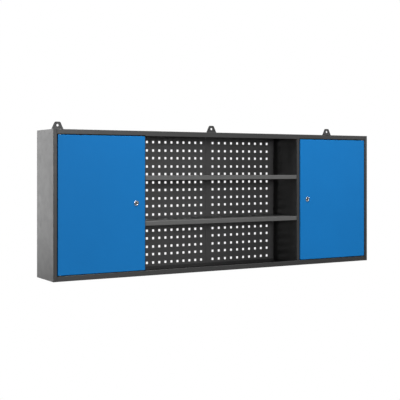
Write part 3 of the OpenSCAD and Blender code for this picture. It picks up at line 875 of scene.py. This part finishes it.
def pocketed(name, outline, pocket, y0, y_floor, y1):
    """A closed bar along Y with a pocket sunk into its front."""
    bm = bmesh.new()

    def ring(points, y):
        return [bm.verts.new((x, y, z)) for x, z in points]

    def wall(a, b):
        for i in range(len(a)):
            j = (i + 1) % len(a)
            bm.faces.new((a[i], a[j], b[j], b[i]))

    def loop(verts):
        return [bm.edges.get((verts[i], verts[(i + 1) % len(verts)])) for i in range(len(verts))]

    outer_front, outer_back = ring(outline, y0), ring(outline, y1)
    inner_front, inner_back = ring(pocket, y0), ring(pocket, y_floor)
    wall(outer_front, outer_back)
    wall(inner_front, inner_back)
    bm.faces.new(outer_back)
    bm.faces.new(inner_back)
    edges = loop(outer_front) + loop(inner_front)
    bmesh.ops.triangle_fill(bm, use_beauty=True, use_dissolve=False, edges=edges)
    smooth_outward(bm)
    obj = place_object(name, mesh_from(bm, name))
    round_edges(obj, 0.3 * MM, segments=3)
    return obj


def hexagon(x, z, r):
    return circle_points(x, z, r, 6)


def lock_housing(side):
    """The lock's face with its threaded barrel; gives back where the lock stands."""
    lo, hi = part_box(f"lock_body_{side}")
    x, z = (lo[0] + hi[0]) / 2, (lo[2] + hi[2]) / 2
    head_y, rear_y = lo[1], hi[1]
    face_r, body_r, bore = 10.5 * MM, LOCK_HOLE_R, 6.05 * MM
    face_t = FRONT_Y - head_y
    c = 0.7 * MM                                # rounding of the face's rim
    dish = 0.35 * MM                            # how far the face sinks round the plug
    profile = [(bore, dish), (bore + 0.2 * MM, dish), (bore + 1.1 * MM, dish), (bore + 1.5 * MM, 0)]
    for a in quarter_turn(6):
        profile.append((face_r - c * (1 - math.sin(a)), c * (1 - math.cos(a))))
    profile += [(face_r, face_t), (body_r, face_t)]
    pitch = 1 * MM
    thread_depth = 0.45 * MM
    thread_turns = int((rear_y - FRONT_Y) / pitch) - 1
    for k in range(thread_turns):
        at = face_t + pitch * (k + 0.6)
        profile += [(body_r, at), (body_r - thread_depth, at + pitch * 0.45), (body_r, at + pitch * 0.9)]
    length = rear_y - head_y
    profile += [(body_r - 0.5 * MM, length), (bore, length), (bore, dish)]
    housing = lathe(f"lock_housing_{side}", profile, (x, head_y, z), (0, 1, 0), 56)
    finish_piece(housing, f"lock_body_{side}")
    return x, z


def lock_nut(side, x, z):
    """Hexagon nut that holds the lock in the door."""
    lo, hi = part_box(f"lock_nut_{side}")
    bore_points = circle_points(x, z, LOCK_HOLE_R, 40)
    nut = prism(f"lock_hex_nut_{side}", hexagon(x, z, 12 * MM), [bore_points], lo[1], hi[1], 0.45 * MM)
    finish_piece(nut, f"lock_nut_{side}")


def lock_plug(side, x, z):
    """Turning plug with its key slot and the square that drives the cam."""
    lo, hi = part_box(f"lock_plug_{side}")
    slot_w, slot_h = 1.2 * MM, 4.4 * MM         # half the key slot's width and height
    slot = rounded_rectangle(x - slot_w, x + slot_w, z - slot_h, z + slot_h, 1.1 * MM, 3)
    slot_floor = lo[1] + 12 * MM
    cam_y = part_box(f"lock_cam_{side}")[0][1]
    plug = pocketed("plug", circle_points(x, z, 6 * MM, 48), slot, lo[1], slot_floor, cam_y)
    s = DRIVE_HALF
    drive_outline = [(x - s, z - s), (x + s, z - s), (x + s, z + s), (x - s, z + s)]
    drive = prism("drive", drive_outline, [], cam_y - 0.01 * MM, hi[1])
    finish_piece(join(f"lock_key_plug_{side}", [plug, drive]), f"lock_plug_{side}")


def lock_cam(side, x, z):
    """Flat cam with a round hub, a round tip and a square hole."""
    cam_lo, cam_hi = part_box(f"lock_cam_{side}")
    s = DRIVE_HALF
    w, hub = 6 * MM, 8 * MM                     # half the cam's width, and its hub's radius
    tip_z = cam_lo[2] + w
    outline = []
    start = math.asin(w / hub)
    for k in range(25):
        a = -HALF_PI + start + (2 * math.pi - 2 * start) * k / 24
        outline.append((x + hub * math.cos(a), z + hub * math.sin(a)))
    for k in range(13):
        a = math.pi + math.pi * k / 12
        outline.append((x + w * math.cos(a), tip_z + w * math.sin(a)))
    square = [(x - s, z - s), (x - s, z + s), (x + s, z + s), (x + s, z - s)]
    cam = prism(f"lock_cam_plate_{side}", outline, [square], cam_lo[1], cam_hi[1], SOFT_RIM)
    finish_piece(cam, f"lock_cam_{side}")


def cam_bolt(side, x, z):
    """Hexagon bolt and washer that hold the cam on the plug."""
    lo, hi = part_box(f"cam_bolt_{side}")
    washer_t = 1.2 * MM
    washer_profile = [
        (0, 0), (6.2 * MM, 0), (6.5 * MM, 0.3 * MM),
        (6.5 * MM, 0.9 * MM), (6.2 * MM, washer_t), (0, washer_t),
    ]
    washer = lathe("washer", washer_profile, (x, lo[1], z), (0, 1, 0))
    head = prism("head", hexagon(x, z, 4.6 * MM), [], lo[1] + washer_t, hi[1], SOFT_RIM)
    finish_piece(join(f"cam_bolt_set_{side}", [washer, head]), f"cam_bolt_{side}")


# Build ------------------------------------------------------------------------------------

deck("top_panel", 1, (DOOR_LIP_Z, BAY_LIP_Z, DOOR_LIP_Z))
deck("bottom_panel", -1, (SILL_Z, SILL_Z, SILL_Z))
side_panel("side_panel_left", -1)
side_panel("side_panel_right", 1)
partitions()
perforated("perforated_panel_left", LEFT_COLUMNS)
perforated("perforated_panel_right", RIGHT_COLUMNS)
for lug_name in LUGS:
    lug(lug_name)
rivets()
for shelf_name in BAY_SHELVES:
    bay_shelf(shelf_name)
for hand in ("left", "right"):
    side_shelf(f"side_shelf_{hand}")
    shelf_bearers(f"shelf_bearers_{hand}")
    hinge_parts(hand)
    lock_x, lock_z = lock_housing(hand)
    for lock_part in (lock_nut, lock_plug, lock_cam, cam_bolt):
        lock_part(hand, lock_x, lock_z)
    door_skin(f"door_skin_{hand}", lock_x, lock_z)
    stiffener(f"door_stiffener_{hand}")
    rubber_buttons(f"door_buffers_{hand}", -1)
rubber_buttons("wall_pads", 1)
for kept in ("back_panel_left", "back_panel_right", "seam_strap"):
    keep_cad(kept, RIM)
for kept in ("hinge_brackets_left", "hinge_brackets_right", "pin_blocks_left", "pin_blocks_right"):
    keep_cad(kept, SOFT_RIM)


# Stage, light and camera ------------------------------------------------------------------

CASE_MIDDLE = (0, -0.1, 0)
LEFT_END = (-0.8, -0.1, 0)


def floor(radius, z):
    """A plain pale disc under the cabinet."""
    bm = bmesh.new()
    bmesh.ops.create_circle(bm, cap_ends=True, segments=96, radius=radius)
    obj = place_object("studio_floor", mesh_from(bm, "studio_floor"))
    obj.location = (CASE_MIDDLE[0], CASE_MIDDLE[1], z)
    material, _, bsdf = node_tree("studio_floor")
    bsdf.inputs["Base Color"].default_value = (0.82, 0.82, 0.81, 1)
    bsdf.inputs["Roughness"].default_value = 0.9
    obj.data.materials.append(material)


def area_light(name, location, target, size, watts):
    """A square white light that faces its target."""
    light = bpy.data.lights.new(name, "AREA")
    light.shape = "RECTANGLE"
    light.size = size
    light.size_y = size
    light.energy = watts
    obj = place_object(name, light)
    obj.location = location
    obj.rotation_euler = (Vector(target) - Vector(location)).to_track_quat("-Z", "Y").to_euler()
    obj.visible_camera = False


def world(backdrop, ambient):
    """White behind the object, and a dim neutral room all round for the light and reflections."""
    w = bpy.data.worlds.new("studio")
    bpy.context.scene.world = w
    w.use_nodes = True
    nodes, links = w.node_tree.nodes, w.node_tree.links
    nodes.clear()
    out = nodes.new("ShaderNodeOutputWorld")
    mix = nodes.new("ShaderNodeMixShader")
    path = nodes.new("ShaderNodeLightPath")
    links.new(path.outputs["Is Camera Ray"], mix.inputs["Fac"])
    for i, strength in ((1, ambient), (2, backdrop)):
        background = nodes.new("ShaderNodeBackground")
        background.inputs["Strength"].default_value = strength
        background.inputs["Color"].default_value = (1, 1, 1, 1)
        links.new(background.outputs["Background"], mix.inputs[i])
    links.new(mix.outputs["Shader"], out.inputs["Surface"])


floor(radius=2.45, z=-1.6)
world(backdrop=1.0, ambient=0.15)
area_light("key_high", (-1.7, 0.3, 1.6), (-0.8, -0.1, 0.1), size=0.6, watts=51)
area_light("side", (-2.41, 4.23, 0.45), LEFT_END, size=2.6, watts=67)
area_light("front", (0.3, -4.2, 0.6), CASE_MIDDLE, size=0.9, watts=45)
area_light("right", (3.8, -2.2, 0.9), CASE_MIDDLE, size=0.9, watts=23)
area_light("top", (0, -1.2, 3.0), CASE_MIDDLE, size=1.5, watts=167)
area_light("rear", (0.6, 3.2, 1.6), (0, 0, 0), size=2.2, watts=60)
bpy.context.scene.view_settings.view_transform = "Standard"

camera = bpy.data.cameras.new("camera")
camera.lens = 78.75
camera.sensor_width = 36
camera.shift_y = -0.08285
view = place_object("camera", camera)
view.location = (-2.0378, -3.4265, 0.15115)
view.rotation_euler = (HALF_PI, 0, math.radians(-30.44))
bpy.context.scene.camera = view
